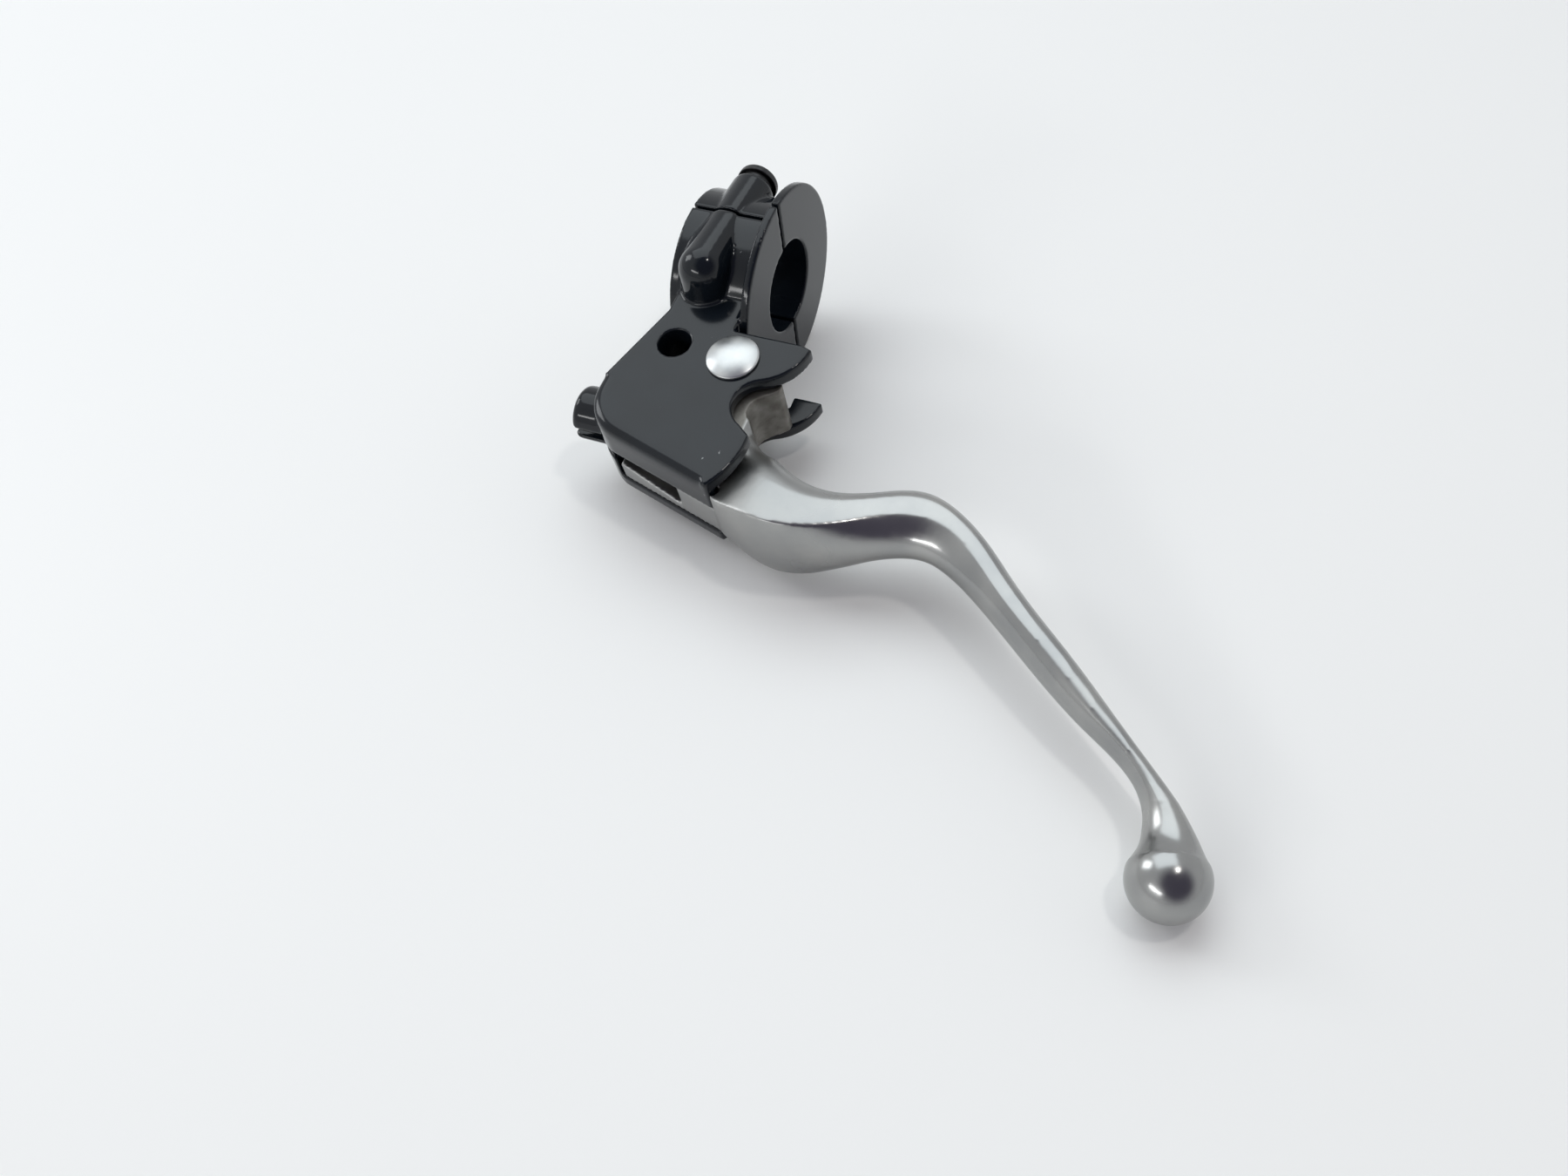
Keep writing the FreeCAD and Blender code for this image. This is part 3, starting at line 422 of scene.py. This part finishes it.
black_oxide = make_metal(
    "black_oxide",
    dark=(0.03, 0.03, 0.032, 1),
    light=(0.07, 0.07, 0.072, 1),
    roughness=(0.28, 0.42),
    blotch_scale=400,
    bump=0.2,
)
for level, side in (("upper", 1), ("lower", -1)):
    to_place = (
        Matrix.Rotation(-CLAMP_TILT, 4, "X")
        @ Matrix.Translation((SCREW_X, 0, side * SCREW_HEIGHT))
        @ Matrix.Rotation(-math.pi / 2, 4, "X")
    )
    screw = turned(level + "_button_screw", [
        (SCREW_RADIUS - SCREW_CHAMFER, SCREW_TIP),
        (SCREW_RADIUS, SCREW_TIP + SCREW_CHAMFER),
        (SCREW_RADIUS, WASHER_BACK),
        (HEAD_RADIUS - EDGE_BREAK, WASHER_BACK),
        (HEAD_RADIUS, WASHER_BACK + EDGE_BREAK),
        (HEAD_RADIUS, HEAD_BACK - HEAD_CROWN),
    ] + crown_rings(HEAD_RADIUS, HEAD_BACK - HEAD_CROWN, HEAD_CROWN, CROWN_STEPS))
    cut_with_prism(screw, 6, SOCKET_CORNER, SOCKET_FLOOR, HEAD_BACK + MM)
    screw.data.transform(to_place)
    screw.data.materials.append(black_oxide)
    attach(screw, "bracket")
    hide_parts(level + "_clamp_screw")

    washer = turned(level + "_plain_washer", [
        (WASHER_RADIUS - EDGE_BREAK, WASHER_FRONT),
        (WASHER_RADIUS, WASHER_FRONT + EDGE_BREAK),
        (WASHER_RADIUS, WASHER_BACK - EDGE_BREAK),
        (WASHER_RADIUS - EDGE_BREAK, WASHER_BACK),
    ])
    cut_with_prism(washer, 48, WASHER_HOLE, WASHER_FRONT - MM, WASHER_BACK + MM)
    washer.data.transform(to_place)
    washer.data.materials.append(black_oxide)
    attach(washer, "bracket")
    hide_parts(level + "_clamp_washer")


# ---- Pivot pin, ring and bushing ------------------------------------------------------
# A bright plated pin with a domed head drops through both ears; an E-shaped spring ring
# below the lower ear holds it, and the lever turns on it with a bronze bushing.

PIVOT = Vector((15, -36.5, 0)) * MM
PIN_RADIUS = 4.0 * MM
PIN_TAIL = -15.45 * MM
PIN_CHAMFER = 0.4 * MM
GROOVE_LOW = -14.05 * MM
GROOVE_HIGH = -13.15 * MM
GROOVE_RADIUS = 3.1 * MM
PIN_HEAD_RADIUS = 7.05 * MM
PIN_HEAD_RIM = 13.85 * MM
PIN_HEAD_TOP = 15.35 * MM
# The head's rim is eased by these steps inward and down, in millimetres, below the dome.
RIM_EASING = ((0, 0.25), (0.04, 0.1))
DOME_INSET = 0.12 * MM
DOME_STEPS = 14
DOME_FLAT = 0.3
BEVEL_ANGLE = math.radians(40)


def dome_rings(radius, rim, top, steps):
    """Rings of a shallow dome: an arc from the rim to a flat, DOME_FLAT of a step wide."""
    rise = top - rim
    arc = (radius ** 2 + rise ** 2) / (2 * rise)
    widest = math.asin(radius / arc)
    rings = []
    for step in range(steps + 1):
        angle = widest * (1 - step / (steps + DOME_FLAT))
        rings.append((arc * math.sin(angle), top - arc * (1 - math.cos(angle))))
    return rings


pin = turned("turned_pivot_pin", [
    (PIN_RADIUS - PIN_CHAMFER, PIN_TAIL),
    (PIN_RADIUS, PIN_TAIL + PIN_CHAMFER),
    (PIN_RADIUS, GROOVE_LOW),
    (GROOVE_RADIUS, GROOVE_LOW),
    (GROOVE_RADIUS, GROOVE_HIGH),
    (PIN_RADIUS, GROOVE_HIGH),
    (PIN_RADIUS, EAR_TOP),
    (PIN_HEAD_RADIUS - EDGE_BREAK, EAR_TOP),
    (PIN_HEAD_RADIUS, EAR_TOP + EDGE_BREAK),
] + [
    (PIN_HEAD_RADIUS - inward * MM, PIN_HEAD_RIM - down * MM) for inward, down in RIM_EASING
] + dome_rings(PIN_HEAD_RADIUS - DOME_INSET, PIN_HEAD_RIM, PIN_HEAD_TOP, DOME_STEPS), segments=96)
pin.data.transform(Matrix.Translation(PIVOT))
pin.data.materials.append(make_metal(
    "bright_plating",
    dark=(0.50, 0.52, 0.53, 1),
    light=(0.62, 0.63, 0.62, 1),
    roughness=(0.3, 0.38),
    blotch_scale=260,
    bump=0.08,
))
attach(pin, "bracket")
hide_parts("pivot_pin")


def bevelled_from(node, name, width):
    """A copy of a CAD node with its sharp edges broken."""
    piece = copy_of(node, name)
    edges = piece.modifiers.new("edges", "BEVEL")
    edges.width = width
    edges.segments = 2
    edges.limit_method = "ANGLE"
    edges.angle_limit = BEVEL_ANGLE
    bpy.ops.object.modifier_apply(modifier=edges.name)
    bpy.ops.object.shade_smooth_by_angle(angle=SHARP_ANGLE)
    return piece


ring = bevelled_from("pivot_retaining_ring", "spring_ring", width=0.1 * MM)
ring.data.materials.append(make_metal(
    "phosphated_spring_steel",
    dark=(0.10, 0.10, 0.11, 1),
    light=(0.2, 0.2, 0.21, 1),
    roughness=(0.3, 0.45),
    blotch_scale=500,
    bump=0.2,
))
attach(ring, "bracket")
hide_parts("pivot_retaining_ring")

bushing = bevelled_from("pivot_bushing", "bronze_bushing", width=0.2 * MM)
bushing.data.materials.append(make_metal(
    "plain_bronze",
    dark=(0.36, 0.22, 0.10, 1),
    light=(0.5, 0.33, 0.17, 1),
    roughness=(0.28, 0.42),
    blotch_scale=300,
    bump=0.15,
))
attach(bushing, "lever")
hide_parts("pivot_bushing")


# ---- Cable anchor ---------------------------------------------------------------------
# A plain zinc-plated barrel that turns in the lever's plate; the cable's end hooks into
# its cross hole.

ANCHOR = Vector((1, -57, 0)) * MM
ANCHOR_RADIUS = 4.75 * MM
ANCHOR_HALF = 8.25 * MM
ANCHOR_HOLE = 1.6 * MM
ANCHOR_CHAMFER = 2 * EDGE_BREAK

anchor = turned("turned_cable_anchor", [
    (ANCHOR_RADIUS - ANCHOR_CHAMFER, -ANCHOR_HALF),
    (ANCHOR_RADIUS, -ANCHOR_HALF + ANCHOR_CHAMFER),
    (ANCHOR_RADIUS, ANCHOR_HALF - ANCHOR_CHAMFER),
    (ANCHOR_RADIUS - ANCHOR_CHAMFER, ANCHOR_HALF),
])
along_x = Matrix.Rotation(math.pi / 2, 4, "Y")
cut_with_prism(anchor, 32, ANCHOR_HOLE, -2 * ANCHOR_RADIUS, 2 * ANCHOR_RADIUS, along_x)
anchor.data.transform(Matrix.Translation(ANCHOR))
anchor.data.materials.append(make_metal(
    "clear_zinc",
    dark=(0.36, 0.37, 0.38, 1),
    light=(0.52, 0.52, 0.5, 1),
    roughness=(0.3, 0.45),
    blotch_scale=350,
    bump=0.15,
))
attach(anchor, "anchor")
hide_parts("cable_anchor_pin")


# ---- Hand lever -----------------------------------------------------------------------
# A forged aluminium lever.  The blade and the ball are polished, the root is satin, the
# whole arm has fine scratches, and the plate and hub inside the bracket keep their forged
# skin.

LEVER_GRAIN = 0.43 * MM
LEVER_SMOOTHING = 2
ARM_SMOOTHING = 9
BALL_CENTRE = Vector((153.3, -131.6, 0)) * MM
NECK_BAND = 4.5 * MM
NECK_SMOOTHING = 260
NECK_FULL_SHARE = 1.4
# The neck leaves the ball this way, at this many ball radii, and within this cosine.
NECK_DIRECTION = Vector((-0.25, 0.97, 0))
NECK_START = 1.1
NECK_COSINE = 0.35
ARM_START_X = 24 * MM
ARM_FADE = 6 * MM
# The forged skin ends along these lines: in front of the hub, behind the ears' front edge
# and outboard of the ears.
SKIN_FRONT_Y = -50.6 * MM
SKIN_INSET = 3.5 * MM
SKIN_END_X = 24 * MM
SKIN_FADE = 0.5 * MM
ROOT_END_X = 62.0 * MM
ROOT_FADE = 25 * MM
BLADE_END_X = 132.0 * MM
BLADE_FADE_IN = 8 * MM
BLADE_FADE_OUT = 6 * MM
SCRATCH_ANGLE = math.radians(42)
SCRATCH_SQUEEZE = 0.06
LEVER_RELIEF = 0.03 * MM
# Noise scales are in grains per metre.
METAL_CLOUDS = 70
SKIN_GRIME = 240
SCRATCH_SCALE = 2600
PIT_SCALE = 1100


def neck_share(place):
    """1 where the neck runs into the ball, falling to 0 on both sides."""
    beyond = abs((place - BALL_CENTRE).length - NECK_START * BALL_RADIUS)
    toward_arm = NECK_DIRECTION.dot((place - BALL_CENTRE).normalized())
    if toward_arm < NECK_COSINE:
        return 0
    return NECK_FULL_SHARE - beyond / NECK_BAND


def arm_share(place):
    """1 on the arm, falling to 0 at the ears, so that the hub keeps its edges."""
    return (place.x - ARM_START_X) / ARM_FADE if place.y < SKIN_FRONT_Y else 0


def make_aluminium():
    """Forged skin, satin root, polished blade and ball, told apart by where they are."""
    material, tree_nodes, links, shader = new_material("polished_aluminium")
    place = tree_nodes.new("ShaderNodeTexCoord").outputs["Object"]
    split = tree_nodes.new("ShaderNodeSeparateXYZ")
    links.new(place, split.inputs[0])
    along = split.outputs["X"]
    back = split.outputs["Y"]
    hub = remap(tree_nodes, links, back, SKIN_FRONT_Y - SKIN_FADE, SKIN_FRONT_Y + SKIN_FADE, 0, 1)
    inward = tree_nodes.new("ShaderNodeVectorMath")
    inward.operation = "DOT_PRODUCT"
    inward.inputs[1].default_value = EARS_INWARD.to_3d()
    links.new(place, inward.inputs[0])
    edge = EARS_CORNER.dot(EARS_INWARD) + SKIN_INSET
    depth = inward.outputs["Value"]
    behind = remap(tree_nodes, links, depth, edge - SKIN_FADE, edge + SKIN_FADE, 0, 1)
    under_ears = remap(tree_nodes, links, along, SKIN_END_X - SKIN_FADE, SKIN_END_X + SKIN_FADE, 1, 0)
    inside = tree_nodes.new("ShaderNodeMath")
    inside.operation = "MULTIPLY"
    links.new(behind, inside.inputs[0])
    links.new(under_ears, inside.inputs[1])
    either = tree_nodes.new("ShaderNodeMath")
    either.operation = "MAXIMUM"
    links.new(inside.outputs[0], either.inputs[0])
    links.new(hub, either.inputs[1])
    plate = either.outputs[0]
    polish = remap(tree_nodes, links, along, ROOT_END_X - ROOT_FADE, ROOT_END_X, 0, 1)
    end = remap(
        tree_nodes, links, along, BLADE_END_X - BLADE_FADE_IN, BLADE_END_X + BLADE_FADE_OUT, 0, 1
    )
    clouds = noise(tree_nodes, links, METAL_CLOUDS, detail=4)

    def blend(share, first, second):
        """Blend two values, each a float or a socket, by the share socket."""
        node = tree_nodes.new("ShaderNodeMix")
        links.new(share, node.inputs[0])
        for socket, source in ((node.inputs[2], first), (node.inputs[3], second)):
            if isinstance(source, float):
                socket.default_value = source
            else:
                links.new(source, socket)
        return node.outputs[0]

    satin = spread(tree_nodes, links, clouds, to_low=0.32, to_high=0.42)
    blade = spread(tree_nodes, links, clouds, to_low=0.18, to_high=0.26)
    ball = spread(tree_nodes, links, clouds, to_low=0.2, to_high=0.28)
    roughness = blend(plate, blend(end, blend(polish, satin, blade), ball), 0.5)
    links.new(roughness, shader.inputs["Roughness"])

    tone = spread(tree_nodes, links, clouds, 0, 1)
    metal = mix_colours(tree_nodes, links, tone, (0.31, 0.315, 0.315, 1), (0.40, 0.40, 0.39, 1))
    grime = noise(tree_nodes, links, SKIN_GRIME, detail=5)
    skin_tone = spread(tree_nodes, links, grime, 0, 1)
    skin = mix_colours(tree_nodes, links, skin_tone, (0.14, 0.13, 0.115, 1), (0.27, 0.26, 0.24, 1))
    links.new(mix_colours(tree_nodes, links, plate, metal, skin), shader.inputs["Base Color"])
    shader.inputs["Metallic"].default_value = 1

    stretch = tree_nodes.new("ShaderNodeMapping")
    stretch.inputs["Rotation"].default_value = (0, 0, SCRATCH_ANGLE)
    stretch.inputs["Scale"].default_value = (SCRATCH_SQUEEZE, 1, 1)
    links.new(place, stretch.inputs["Vector"])
    scratches = noise(tree_nodes, links, SCRATCH_SCALE, detail=2, vector=stretch.outputs["Vector"])
    pits = noise(tree_nodes, links, PIT_SCALE, detail=4)
    relief = blend(plate, scratches, pits)
    strength = blend(plate, blend(end, 0.10, 0.03), 0.8)
    bump = tree_nodes.new("ShaderNodeBump")
    bump.inputs["Distance"].default_value = LEVER_RELIEF
    links.new(strength, bump.inputs["Strength"])
    links.new(relief, bump.inputs["Height"])
    links.new(bump.outputs["Normal"], shader.inputs["Normal"])
    return material


lever = cast_from("hand_lever", "forged_lever", LEVER_GRAIN, LEVER_SMOOTHING)
soften_where(lever, "arm", arm_share, ARM_SMOOTHING)
soften_where(lever, "neck", neck_share, NECK_SMOOTHING)
lever.data.materials.append(make_aluminium())
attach(lever, "lever")
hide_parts("hand_lever")
